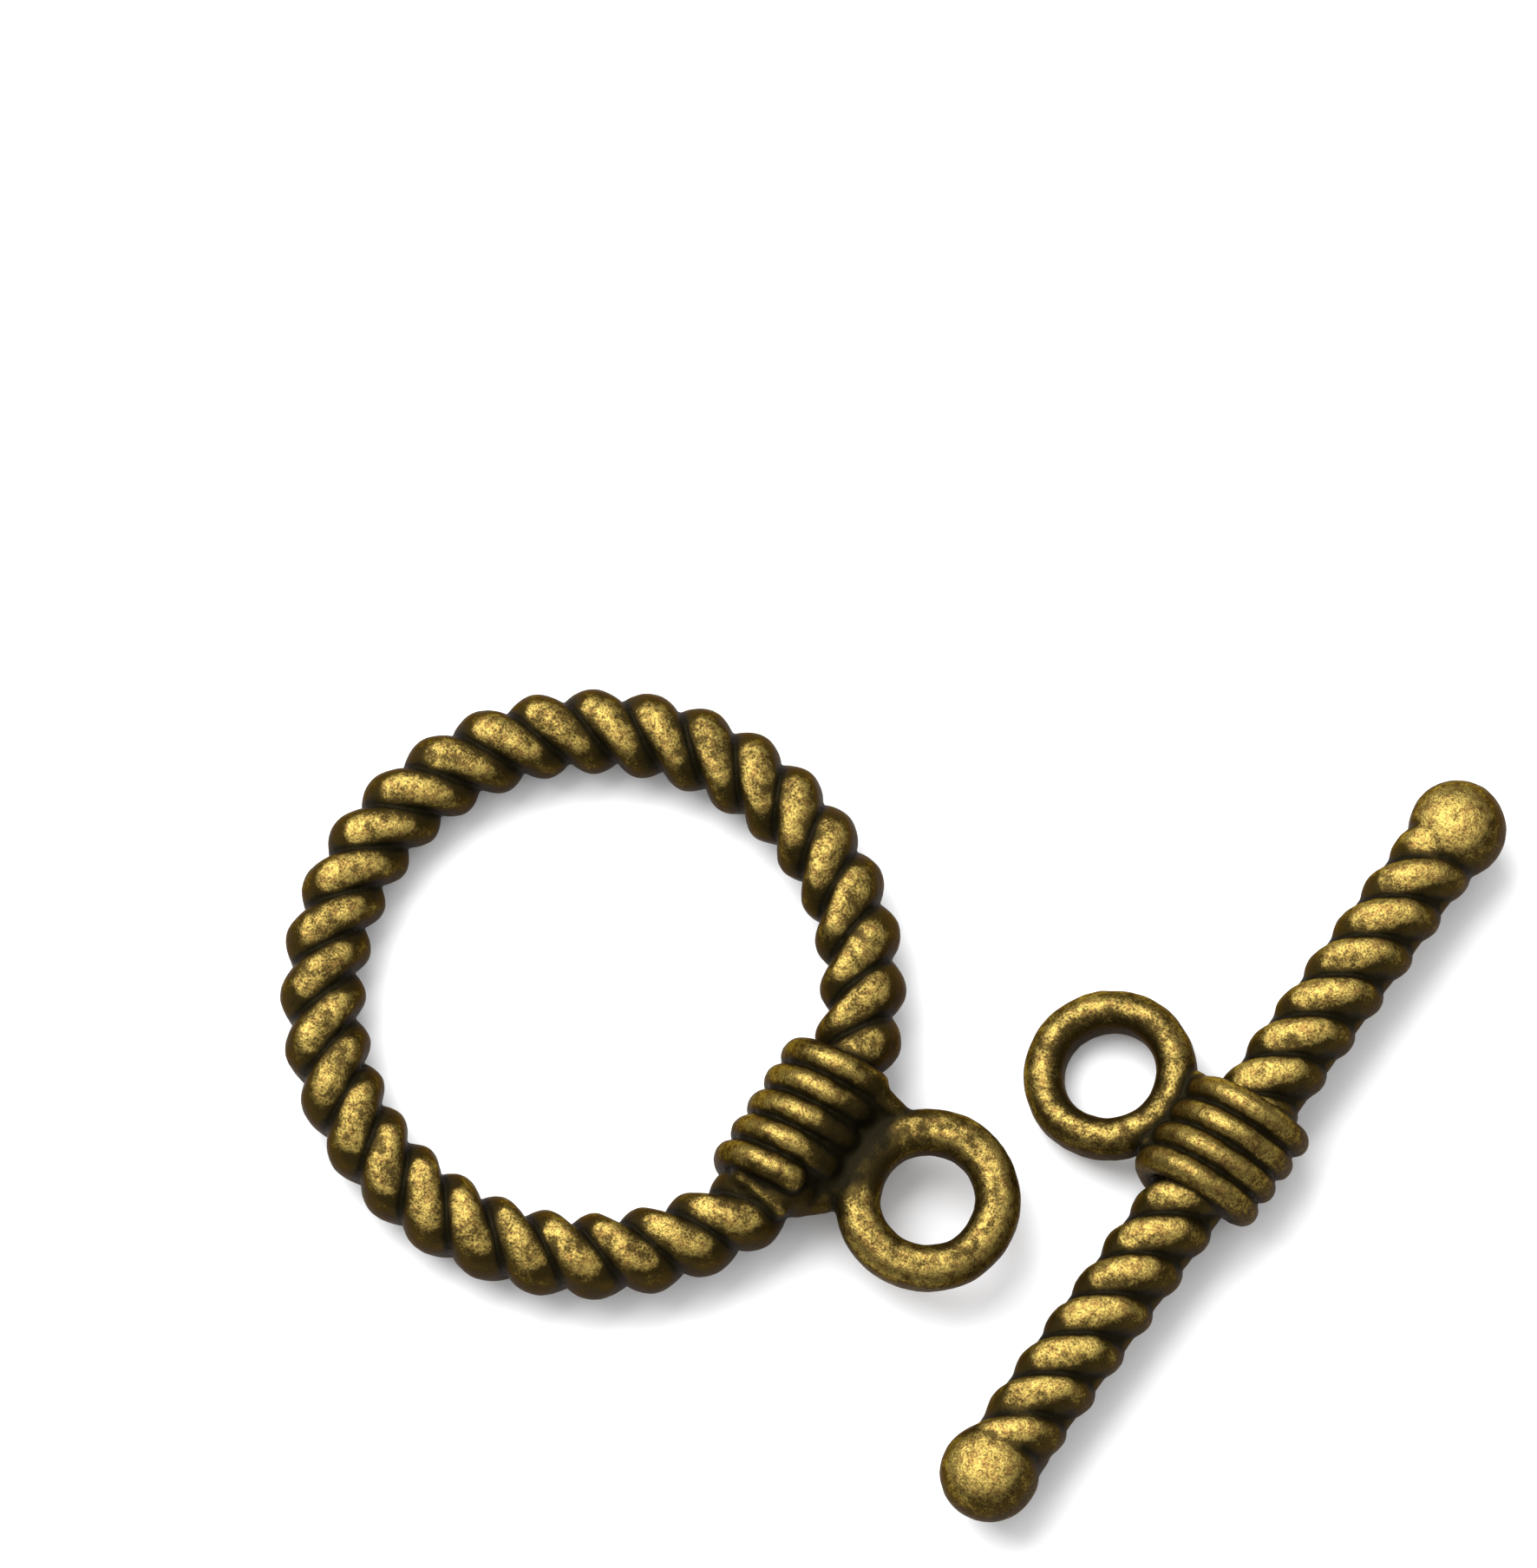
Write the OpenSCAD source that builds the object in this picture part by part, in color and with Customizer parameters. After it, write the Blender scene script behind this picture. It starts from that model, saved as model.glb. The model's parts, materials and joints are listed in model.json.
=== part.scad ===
// Rope-twist toggle clasp: a rope ring and a rope bar, each one metal casting with a
// wire-wound collar and a round loop, lying side by side on a flat surface.
// Millimetres, +Z up. The origin is the centre of the rope ring, on the surface.
// +X runs from the ring's centre to the ring's loop.

/* [Rope] */
// Diameter of the twisted rope over its lobes
rope_d = 2.2; // [1.8:0.05:2.6]
// Depth of the grooves between the lobes
groove_depth = 0.3; // [0.1:0.05:0.4]
// How straight a groove crosses the rope: 0 is a true helix, 1 a straight cut
groove_straight = 0.75; // [0:0.05:0.9]
// How much steeper a groove is where it ends than where it starts
groove_lean = 0.5; // [0.1:0.1:0.8]

/* [Ring] */
// Outside diameter of the rope ring
ring_od = 16; // [14:0.5:22]
// Number of rope lobes round the ring
ring_lobes = 32; // [24:2:44]
// Angle of the first groove from the middle of the loop, in degrees
ring_groove_angle = 4.9; // [0:0.1:11]
// Diameter of the ring's collar over its turns of wire
ring_collar_d = 3.2; // [3:0.05:4]
// Turns of wire in the ring's collar
ring_turns = 5; // [3:1:6]
// Diameter of the wire in the ring's collar, which is also the distance from turn to turn
ring_wire_d = 0.78; // [0.6:0.01:0.9]
// How far the collar's middle lies off the middle of the loop, along the rope
ring_collar_shift = -0.24; // [-0.3:0.02:0.3]
// How far the collar's axis lies inside the rope's centre line, at the collar's ends
collar_inset = 0.13; // [0.05:0.01:0.4]
// Outside diameter of the ring's loop
ring_loop_od = 4.7; // [4.2:0.05:6]
// Depth to which the ring's loop sinks into its collar
ring_loop_sink = 0.31; // [0.1:0.01:0.6]
// Width of the web between the ring's loop and its collar
ring_web_w = 3.1; // [2.4:0.1:3.5]
// How far the web's middle lies off the middle of the loop, along the rope
ring_web_shift = 0.3; // [-0.3:0.05:0.3]

/* [Bar] */
// Overall length of the bar, over its two balls
bar_length = 23.1; // [20:0.1:30]
// Diameter of the ball at each end of the bar
ball_d = 2.52; // [2.3:0.02:3]
// Number of rope lobes along the bar
bar_lobes = 16; // [12:1:22]
// Distance that the rope stops short of each ball's centre
rope_end_inset = 0.13; // [0:0.01:0.4]
// Shift of the bar's rope towards its far ball, which sets where the lobes fall
rope_shift = -0.62; // [-0.7:0.01:0.7]
// Diameter of the bar's collar over its turns of wire
bar_collar_d = 3.44; // [3.2:0.02:4]
// Turns of wire in the bar's collar
bar_turns = 4; // [3:1:6]
// Diameter of the wire in the bar's collar, which is also the distance from turn to turn
bar_wire_d = 0.74; // [0.6:0.01:0.9]
// Outside diameter of the bar's loop
bar_loop_od = 4.45; // [4.2:0.05:6]
// Depth to which the bar's loop sinks into its collar
bar_loop_sink = 0.33; // [0.1:0.01:0.6]
// Width of the web between the bar's loop and its collar
bar_web_w = 2.6; // [2:0.1:3]

/* [Loops] */
// Diameter of the hole in a loop
loop_hole_d = 2.4; // [1.6:0.05:2.6]
// Thickness of a loop
loop_h = 1.3; // [1.1:0.05:1.8]
// Radius of a loop's rounded edges
loop_edge_r = 0.45; // [0.1:0.05:0.5]
// Thickness of the web between a collar and its loop
web_h = 1.1; // [0.8:0.05:1.4]

/* [Lay-out] */
// Distance from the rim of the ring's loop to the bar's axis, along +X
bar_distance = 3.28; // [2.5:0.02:10]
// Clear distance between the two loops, along +Y
loop_gap = 0.62; // [0.4:0.01:5]
// Direction of the bar, anticlockwise from +X, in degrees
bar_angle = 87; // [80:0.5:100]

/* [Hidden] */
$fn = 64;

// Stations along one lobe of the rope. The rope has twice as many sides, because a groove
// advances one lobe in each half turn, so every groove runs along the mesh's own edges.
lobe_steps = 7;
rope_sides = 2 * lobe_steps;
// Fullness of a lobe: lower is squarer, with a narrower groove
lobe_power = 0.55;

rope_r = rope_d / 2;
rope_ring_r = (ring_od - rope_d) / 2;
ring_collar_r = ring_collar_d / 2;
bar_collar_r = bar_collar_d / 2;

// Neighbouring turns of a collar sink this far into each other
turn_overlap = 0.03;

// The rope stops inside a collar, this far short of the collar's end
rope_grip = 0.45;

// Where the ring's collar and loop sit, in the ring's own plane
ring_collar_half = ring_turns * ring_wire_d / 2;
ring_collar_x = sqrt(pow(rope_ring_r, 2) - pow(ring_collar_half, 2)) - collar_inset;
ring_loop_x = ring_collar_x + ring_collar_r - ring_loop_sink + ring_loop_od / 2;

// Where the bar's balls, rope and loop sit, from the bar's middle
ball_x = (bar_length - ball_d) / 2;
bar_rope_length = 2 * (ball_x - rope_end_inset);
bar_collar_half = bar_turns * bar_wire_d / 2;
bar_loop_y = bar_collar_r - bar_loop_sink + bar_loop_od / 2;

// The ring half lies on its collar and on the far side of its rope, so it leans a little
ring_lean = asin((ring_collar_r - rope_r) / (ring_collar_x + rope_ring_r));
ring_z = rope_r + rope_ring_r * sin(ring_lean);

// The bar half lies on its collar and on its loop's outer edge, so it is rolled over
bar_reach = bar_loop_y + bar_loop_od / 2 - loop_edge_r;
bar_flank = loop_h / 2 - loop_edge_r;
bar_roll = asin((bar_collar_r - loop_edge_r) / norm([bar_reach, bar_flank])) - atan2(bar_flank, bar_reach);

// The bar's middle keeps its distance from the ring's loop
bar_x = ring_loop_x * cos(ring_lean) + ring_loop_od / 2 + bar_distance;
bar_y = (ring_loop_od + bar_loop_od) / 2 + loop_gap;

// Share of the rope's width that a groove has crossed after a share v of a lobe
function crossed(v) =
    (1 + groove_lean - sqrt(pow(1 + groove_lean, 2) - 4 * groove_lean * v)) / (2 * groove_lean);

// Angle round the rope that a groove has reached after v lobes
function groove_turn(v) =
    v >= 1
    ? 180 + groove_turn(v - 1)
    : groove_straight * acos(1 - 2 * crossed(v)) + (1 - groove_straight) * 180 * crossed(v);

// Radius of the rope a share u of a lobe after a groove
function lobe_r(u) = rope_r - groove_depth * (1 - pow(sin(180 * u), lobe_power));

// One station of the rope, in its own section: side 0 is on +X and +Y is up
function rope_section(step) = [
    for (side = [0 : rope_sides - 1])
        let (
            turn = groove_turn(side / lobe_steps),
            u = ((step - side) % lobe_steps + lobe_steps) % lobe_steps / lobe_steps
        )
        lobe_r(u) * [cos(turn), sin(turn)]
];

// The two triangles between neighbouring stations, split along the grooves
function skin(step, next_step) = [
    for (side = [0 : rope_sides - 1])
        let (next_side = (side + 1) % rope_sides)
        each [
            [step * rope_sides + side, next_step * rope_sides + side, next_step * rope_sides + next_side],
            [step * rope_sides + side, next_step * rope_sides + next_side, step * rope_sides + next_side]
        ]
];

// The faces of a rope of so many stations, closed flat at both ends
function rope_faces(stations) = [
    [for (side = [0 : rope_sides - 1]) side],
    for (step = [0 : stations - 2]) each skin(step, step + 1),
    [for (side = [0 : rope_sides - 1]) stations * rope_sides - 1 - side]
];

// The rope bent round Z, open where the collar grips its two ends
module rope_ring() {
    step_angle = 360 / ring_lobes / lobe_steps;
    left_end = asin((ring_collar_half - rope_grip + ring_collar_shift) / rope_ring_r);
    right_end = asin((ring_collar_half - rope_grip - ring_collar_shift) / rope_ring_r);
    first = floor((left_end - ring_groove_angle) / step_angle);
    last = ceil((360 - right_end - ring_groove_angle) / step_angle);
    points = [
        for (step = [first : last])
            let (around = ring_groove_angle + step * step_angle)
            for (p = rope_section(step))
                [(rope_ring_r - p[0]) * cos(around), (rope_ring_r - p[0]) * sin(around), p[1]]
    ];
    polyhedron(points, rope_faces(last - first + 1), convexity = 6);
}

// A straight stretch of the bar's rope along X, between two distances from the bar's middle
module rope_rod(from, to) {
    step_length = bar_rope_length / bar_lobes / lobe_steps;
    first = floor((from - rope_shift) / step_length);
    last = ceil((to - rope_shift) / step_length);
    points = [
        for (step = [first : last])
            for (p = rope_section(step))
                [rope_shift + step * step_length, p[0], p[1]]
    ];
    polyhedron(points, rope_faces(last - first + 1), convexity = 6);
}

// A collar of so many wire turns round the X axis, with a core out to the middle of the turns
module collar(turns, wire_d, collar_r) {
    length = turns * wire_d;
    turn_r = (wire_d + turn_overlap) / 2;
    core_r = collar_r - turn_r;
    rotate([0, 90, 0]) {
        cylinder(r = core_r, h = length - wire_d, center = true);
        for (turn = [0 : turns - 1])
            translate([0, 0, wire_d * (turn + 0.5) - length / 2])
                rotate_extrude()
                    translate([core_r, 0])
                        circle(r = turn_r);
    }
}

// A flat loop with rounded edges about Z, and the web that joins it to a collar's axis
module loop(od, reach, web_w, web_shift) {
    band = (od - loop_hole_d) / 2;
    band_middle = (od + loop_hole_d) / 4;
    rotate_extrude() {
        translate([loop_hole_d / 2 + loop_edge_r, -loop_h / 2])
            square([band - 2 * loop_edge_r, loop_h]);
        translate([loop_hole_d / 2, loop_edge_r - loop_h / 2])
            square([band, loop_h - 2 * loop_edge_r]);
        for (x = [loop_hole_d / 2 + loop_edge_r, od / 2 - loop_edge_r])
            for (y = [-1, 1])
                translate([x, y * (loop_h / 2 - loop_edge_r)])
                    circle(r = loop_edge_r);
    }
    translate([-reach, web_shift - web_w / 2, -web_h / 2])
        cube([reach - band_middle, web_w, web_h]);
}

module ring_half() {
    color("darkgoldenrod")
        translate([0, 0, ring_z])
            rotate([0, -ring_lean, 0]) {
                union() {
                    rope_ring();
                    translate([ring_collar_x, ring_collar_shift, 0])
                        rotate([0, 0, 90])
                            collar(ring_turns, ring_wire_d, ring_collar_r);
                }
                translate([ring_loop_x, 0, 0])
                    loop(ring_loop_od, ring_loop_x - ring_collar_x, ring_web_w, ring_web_shift);
            }
}

module bar_half() {
    color("goldenrod")
        translate([bar_x, bar_y, bar_collar_r])
            rotate([0, 0, bar_angle])
                rotate([-bar_roll, 0, 0]) {
                    union() {
                        collar(bar_turns, bar_wire_d, bar_collar_r);
                        rope_rod(-bar_rope_length / 2, rope_grip - bar_collar_half);
                        rope_rod(bar_collar_half - rope_grip, bar_rope_length / 2);
                    }
                    for (end = [-1, 1])
                        translate([end * ball_x, 0, 0])
                            rotate([0, 90, 0])
                                sphere(d = ball_d);
                    translate([0, bar_loop_y, 0])
                        rotate([0, 0, 90])
                            loop(bar_loop_od, bar_loop_y, bar_web_w, 0);
                }
}

ring_half();  // toggle_ring
bar_half();  // toggle_bar
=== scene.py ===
"""The looks of a rope-twist toggle clasp in antique bronze: its ring half and its bar half,
each modelled as one casting, and the stage that they lie on."""
import json
import math
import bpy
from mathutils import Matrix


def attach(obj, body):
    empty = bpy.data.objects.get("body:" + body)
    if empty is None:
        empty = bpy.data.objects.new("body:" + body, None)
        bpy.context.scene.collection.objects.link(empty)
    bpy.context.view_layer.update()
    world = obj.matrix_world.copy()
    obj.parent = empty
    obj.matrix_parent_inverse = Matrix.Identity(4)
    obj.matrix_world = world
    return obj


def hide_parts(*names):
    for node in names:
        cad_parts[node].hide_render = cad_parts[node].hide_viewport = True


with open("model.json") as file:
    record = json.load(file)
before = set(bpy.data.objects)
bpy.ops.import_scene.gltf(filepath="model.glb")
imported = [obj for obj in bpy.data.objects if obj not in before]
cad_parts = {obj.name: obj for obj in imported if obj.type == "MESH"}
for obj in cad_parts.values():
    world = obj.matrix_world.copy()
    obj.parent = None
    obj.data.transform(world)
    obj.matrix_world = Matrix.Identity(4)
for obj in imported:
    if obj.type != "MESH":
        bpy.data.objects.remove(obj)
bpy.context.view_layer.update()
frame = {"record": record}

from types import SimpleNamespace

import bpy
import numpy as np
from bpy.props import (
    FloatProperty, FloatVectorProperty, IntProperty, PointerProperty,
)
from mathutils import Matrix, Vector

bl_info = {
    "name": "Rope Toggle Clasp",
    "version": (1, 0, 0),
    "blender": (4, 5, 0),
    "location": "View3D > Sidebar > Toggle Clasp",
    "description": "Models the two cast halves of a rope-twist toggle clasp in antique bronze",
    "category": "Add Mesh",
}

MOUNTS = {mount["name"]: mount for mount in frame["record"]["mounts"]}

MM = 0.001
# The halves are modelled with a millimetre as the unit, because the remesh takes no voxel
# as fine as the castings need at life size, and are brought to metres at the end.
BENCH = 1 / MM

IMAGE_WIDTH = 1772
IMAGE_HEIGHT = 1808

QUARTER = math.pi / 2
FULL_TURN = 2 * math.pi

# Steps along one lobe of the rope, and sides round it
LOBE_STEPS = 18
ROPE_SIDES = 56
# Steps in a search for the place that a groove has reached
SEARCH_STEPS = 40

# Sides of a collar's wire, and steps of one turn of it
WIRE_SIDES = 20
WIRE_STEPS = 36
# Thickness of a wire as a share of the distance from turn to turn: the turns just overlap
WIRE_FILL = 1.01
# Angles from a collar's top at which its wires start and end, rising along its axis
RING_COIL = (-6.7 * QUARTER, 8.6 * QUARTER)
RING_STUB = (-10 * QUARTER, -7.7 * QUARTER)
BAR_COIL = (-5.75 * QUARTER, 9.75 * QUARTER)

# Height of the metal that fills the bar's seams, as a share of its width
SEAM_HEIGHT = 0.62
# Radius of the rounded edges of a web, in millimetres
WEB_EDGE = 0.3
# Vertices closer together than this are merged, in millimetres
MERGE_DISTANCE = 0.01

# Metal that has run together at the ring's collar: a name, the two ends, measured from where
# the collar's axis crosses X, and the radius at each end, in millimetres
RING_STRUTS = (
    ("ring_fin", (0.90, 1.52, 0.74), (2.05, 1.42, 0.10), 0.37, 0.30),
    ("ring_root", (0.75, -1.75, -0.05), (1.35, -1.35, 0.0), 0.52, 0.44),
    ("ring_last_turn", (-0.5, -2.10, 0.74), (0.55, -2.25, 0.50), 0.34, 0.34),
)
# The same for the rope's swelling beside the near ball, measured from the ball's centre
BAR_SHOULDER = ("near_shoulder", (0.3, 0.05, -0.2), (0.95, -0.02, -0.25), 1.1, 0.98)

# Passes of the smoothing that relief is measured against, and the height that counts as full
BROAD_RELIEF = (120, 0.16)
FINE_RELIEF = (14, 0.035)
# Width of the edge of a melted junction, in millimetres, and the steps that it fades in
MELT_EDGE = 0.3
MELT_STEPS = 10

# Levels of relief between which the patina clears and the rubbing shows
PATINA_CLEARS = (0.38, 0.62)
RUBBING_SHOWS = (0.56, 0.72)
# The same for how far a place faces up or down, and the least share that a side keeps; the sides
# are kept darker partly by the patina that stays on them and partly by painted shade
PATINA_AND_SHADE_FACING = (0.0, 0.60)
RUBBING_AND_SHADE_FACING = (0.25, 0.80)
SIDE_SHARE = 0.45
# What the fine relief and the rubbed flats add to the level
FINE_SHARE = 0.9
FLATS_SHARE = 0.12
# Spread of the fine and the coarse grain, and the coarse grain's scale and height
SPECKLE_RANGE = (0.40, 0.68)
MOTTLE_RANGE = (0.42, 0.66)
COARSE_SCALE = 0.3
COARSE_HEIGHT = 0.8
# How far the two grains pit the rubbed metal, how far rubbing outdoes them, and how dark the
# speckle stays
SPECKLE_PITS = 0.72
MOTTLE_PITS = 0.28
RUBBED_GAIN = 1.12
SPECKLE_DARK = 0.35
# Roughness of the toned metal, what rubbing takes off it, what patina and the painted shade on the
# sides add to it, and what they take off the metallic look
TONED_ROUGHNESS = 0.40
RUBBED_POLISH = 0.13
PATINA_DULLNESS = 0.12
PATINA_COVER = 0.55

# Each lamp's name, how far it stands to the left of the clasp, beyond it and above it, its
# width, all four in metres, and its power in watts
LAMPS = (
    ("key softbox", 0.18, 0.20, 0.39, 0.42, 3.75),
    ("overhead softbox", 0.02, 0.06, 0.50, 0.95, 3.3),
)
# The point that the lamps face, in metres
LIT_POINT = (0.004, 0.003, 0)
# Size of the camera's sensor along the picture's longer side, in metres
SENSOR = 0.036


def length(name, description, millimetres, low=0.0, high=100.0):
    """A size that a user can set, given here in millimetres."""
    return FloatProperty(
        name=name, description=description, default=millimetres * MM,
        min=low * MM, max=high * MM, precision=5, unit="LENGTH",
    )


def shift(name, description, millimetres):
    """A distance that may point either way, given here in millimetres."""
    return length(name, description, millimetres, low=-5.0, high=5.0)


def angle(name, description, degrees):
    """An angle that a user can set, given here in degrees."""
    return FloatProperty(
        name=name, description=description, default=math.radians(degrees), unit="ROTATION",
    )


def share(name, description, default, low=0.0, high=1.0):
    """A share of one."""
    return FloatProperty(
        name=name, description=description, default=default, min=low, max=high, subtype="FACTOR",
    )


def count(name, description, default):
    """A number of copies."""
    return IntProperty(name=name, description=description, default=default, min=1)


def colour(name, description, rgb):
    """A colour, in linear light."""
    return FloatVectorProperty(
        name=name, description=description, default=rgb, min=0.0, max=1.0, size=3, subtype="COLOR",
    )


def wire_radius(wire):
    """Radius of a collar's wire, from its distance from turn to turn."""
    return wire / 2 * WIRE_FILL


class RopeSizes(bpy.types.PropertyGroup):
    """The twisted rope that the ring and the bar share"""
    diameter: length("Diameter", "Diameter of the rope over its lobes", 2.2)
    straight: share("Straightness", "How straight a groove crosses the rope", 0.75)
    lean: share("Lean", "How much steeper a groove is where it ends than where it starts", 0.5)


class LoopSizes(bpy.types.PropertyGroup):
    """The round loops that take the jump rings"""
    hole: length("Hole", "Diameter of the hole in a loop", 2.4)
    thickness: length("Thickness", "Thickness of a loop", 1.3)
    edge: length("Edge", "Radius of a loop's rounded edges", 0.52)
    web_thickness: length("Web thickness", "Thickness of the web between collar and loop", 1.1)


class RingSizes(bpy.types.PropertyGroup):
    """The ring half"""
    outside: length("Outside diameter", "Outside diameter of the rope ring", 15.97)
    lobes: count("Lobes", "Rope lobes round the ring", 32)
    groove_depth: length("Groove depth", "Depth of the grooves between the lobes", 0.35)
    fullness: share("Fullness", "Power of a lobe's outline: lower is squarer", 0.82)
    flat_from: length("Flat from", "Height above the axis where the rubbed tops flatten", 0.82)
    flat_keep: share("Flat keeps", "Share of its height that a rubbed top keeps", 0.52)
    crest: share("Crest", "Where a lobe is highest, as a share of its length", 0.5)
    first_groove: angle("First groove", "Angle of a groove from the middle of the loop", 4.9)
    collar: length("Collar", "Diameter of the collar over its turns of wire", 3.2)
    wire: length("Wire", "Distance from turn to turn of the collar's wire", 0.78)
    collar_x: length("Collar distance", "How far the collar's axis is from the ring's centre", 6.49)
    collar_y: shift("Collar shift", "Where the collar's third turn crosses the top", -0.03)
    loop: length("Loop", "Outside diameter of the loop", 4.7)
    web_low: shift("Web's near edge", "Where the web ends to the right of the loop's middle", -1.3)
    web_high: shift("Web's far edge", "Where the web ends to the left of the loop's middle", 1.75)


class BarSizes(bpy.types.PropertyGroup):
    """The bar half"""
    overall: length("Length", "Overall length of the bar over its balls", 23.07)
    ball: length("Ball", "Diameter of the ball at each end", 2.52)
    lobes: count("Lobes", "Rope lobes along the bar", 16)
    groove_depth: length("Groove depth", "Depth of the grooves between the lobes", 0.33)
    fullness: share("Fullness", "Power of a lobe's outline: lower is squarer", 0.62)
    flat_from: length("Flat from", "Height above the axis where the rubbed tops flatten", 0.82)
    flat_keep: share("Flat keeps", "Share of its height that a rubbed top keeps", 0.55)
    crest: share("Crest", "Where a lobe is highest, as a share of its length", 0.62)
    seam: length("Seam", "Depth of the grooves at the bar's sides, where the mould parted", 0.11)
    end_inset: length("End inset", "How far the rope stops short of each ball's centre", 0.13)
    rope_shift: shift("Rope shift", "Shift of the rope's lobes towards the far ball", -0.62)
    collar: length("Collar", "Diameter of the collar over its turns of wire", 3.42)
    wire: length("Wire", "Distance from turn to turn of the collar's wire", 0.74)
    collar_shift: shift("Collar shift", "Where the collar's second turn crosses the top", -0.50)
    loop: length("Loop", "Outside diameter of the loop", 4.45)
    loop_sink: length("Loop sink", "Depth to which the loop sinks into the collar", 0.33)
    web: length("Web", "Width of the web between the loop and the collar", 2.6)


class CastingFinish(bpy.types.PropertyGroup):
    """How the castings are fused and what their surface is like"""
    voxel: length("Voxel", "Grain of the remesh that fuses a casting", 0.05)
    lump_height: length("Lump height", "Height of the casting's slight lumps", 0.05)
    lump_size: length("Lump size", "Size of the casting's slight lumps", 0.8)
    dent_height: length("Dent height", "Height of the casting's small dents", 0.014)
    dent_size: length("Dent size", "Size of the casting's small dents", 0.22)
    faces: count("Faces", "Most triangles that a casting keeps", 190000)
    # This colour is the patina in the hollows and also the painted shade on the sides.
    patina: colour("Patina and Shade", "Colour of the patina in the hollows", (0.0060, 0.0048, 0.0018))
    bronze: colour("Bronze", "Colour of the toned metal on the flanks", (0.042, 0.028, 0.0075))
    bright: colour("Bright metal", "Colour of rubbed metal on the crests", (0.255, 0.184, 0.046))
    brown: colour("Brown metal", "Colour of the mottled metal on the crests", (0.190, 0.112, 0.030))


class StageSettings(bpy.types.PropertyGroup):
    """The floor, the camera and the lights"""
    floor: colour("Floor", "Colour of the floor", (0.86, 0.86, 0.87))
    air: share("Room light", "Brightness of the room", 0.42)
    azimuth: angle("Azimuth", "Direction that the camera looks from, from -Y towards +X", 32.75)
    elevation: angle("Elevation", "Height of the camera above the floor, as an angle", 76.5)
    lens: FloatProperty(
        name="Lens", description="Focal length of the camera", default=0.3, unit="CAMERA",
    )
    pixels_per_mm: FloatProperty(
        name="Scale", description="Pixels of the picture for each millimetre at the ring",
        default=45.25,
    )
    ring_across: FloatProperty(
        name="Ring across", description="Where the ring's centre is, from the left", default=683.5,
        subtype="PIXEL",
    )
    ring_down: FloatProperty(
        name="Ring down", description="Where the ring's centre is, from the top", default=1144.5,
        subtype="PIXEL",
    )


class ToggleClasp(bpy.types.PropertyGroup):
    """All settings of the clasp"""
    rope: PointerProperty(type=RopeSizes)
    loops: PointerProperty(type=LoopSizes)
    ring: PointerProperty(type=RingSizes)
    bar: PointerProperty(type=BarSizes)
    finish: PointerProperty(type=CastingFinish)
    stage: PointerProperty(type=StageSettings)


def bench(settings):
    """A group's values with its lengths in millimetres."""
    values = {}
    for name, prop in settings.bl_rna.properties.items():
        if name in ("rna_type", "name"):
            continue
        value = getattr(settings, name)
        if prop.type == "FLOAT" and prop.unit == "LENGTH":
            value = value * BENCH
        values[name] = value
    return SimpleNamespace(**values)


def rope_of(settings, half):
    """The rope's sizes, with the grooves and the flats of one half."""
    rope = bench(settings.rope)
    for name in ("groove_depth", "fullness", "flat_from", "flat_keep", "crest"):
        setattr(rope, name, getattr(half, name))
    return rope


# Selecting and shaping

def in_object_mode():
    """Leaves edit mode, if a piece is in it."""
    active = bpy.context.view_layer.objects.active
    if active and active.mode != "OBJECT":
        bpy.ops.object.mode_set(mode="OBJECT")


def only(piece):
    """Selects one piece alone and makes it active."""
    in_object_mode()
    bpy.ops.object.select_all(action="DESELECT")
    piece.select_set(True)
    bpy.context.view_layer.objects.active = piece


def new_piece(name):
    """Names the object that was just added, and hands it over."""
    piece = bpy.context.active_object
    piece.name = name
    piece.data.name = name
    return piece


def edit(piece, wanted=None):
    """Opens a piece in edit mode with the vertices selected that pass the test, or all."""
    only(piece)
    mesh = piece.data
    mesh.polygons.foreach_set("select", [False] * len(mesh.polygons))
    mesh.edges.foreach_set("select", [False] * len(mesh.edges))
    picked = [wanted is None or wanted(vertex.co) for vertex in mesh.vertices]
    mesh.vertices.foreach_set("select", picked)
    bpy.ops.object.mode_set(mode="EDIT")
    bpy.ops.mesh.select_mode(type="VERT")


def near(axis, place, slack=1e-4):
    """A test for the vertices whose place along an axis is this one."""
    return lambda co: abs(co[axis] - place) < slack


def settled(piece):
    """Puts a piece's place, turn and scale into its mesh."""
    only(piece)
    bpy.ops.object.transform_apply(location=True, rotation=True, scale=True)
    return piece


def move(piece, offset, wanted=None):
    """Moves the wanted vertices of a piece, or all."""
    edit(piece, wanted)
    bpy.ops.transform.translate(value=offset)
    in_object_mode()


def flattened(piece, rope):
    """Flattens the tops of a piece, as rubbing does."""
    edit(piece, lambda co: co.z > rope.flat_from)
    bpy.ops.transform.resize(
        value=(1, 1, rope.flat_keep), center_override=(0, 0, rope.flat_from),
    )
    in_object_mode()
    return piece


def merge(piece):
    """Merges the vertices of a piece that lie on each other, and turns its faces outward."""
    edit(piece)
    bpy.ops.mesh.remove_doubles(threshold=MERGE_DISTANCE)
    bpy.ops.mesh.select_all(action="SELECT")
    bpy.ops.mesh.normals_make_consistent(inside=False)
    in_object_mode()


def modify(piece, kind, **values):
    """Adds a modifier with these values and applies it."""
    only(piece)
    bpy.ops.object.modifier_add(type=kind)
    modifier = piece.modifiers[-1]
    for name, value in values.items():
        setattr(modifier, name, value)
    bpy.ops.object.modifier_apply(modifier=modifier.name)


def turned(piece, rotation=(0, 0, 0), location=(0, 0, 0)):
    """Turns and moves a whole piece, and puts that into its mesh."""
    piece.rotation_euler = rotation
    piece.location = location
    return settled(piece)


def copy_of(piece, name):
    """A copy of a piece with a mesh of its own."""
    only(piece)
    bpy.ops.object.duplicate(linked=False)
    return new_piece(name)


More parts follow.
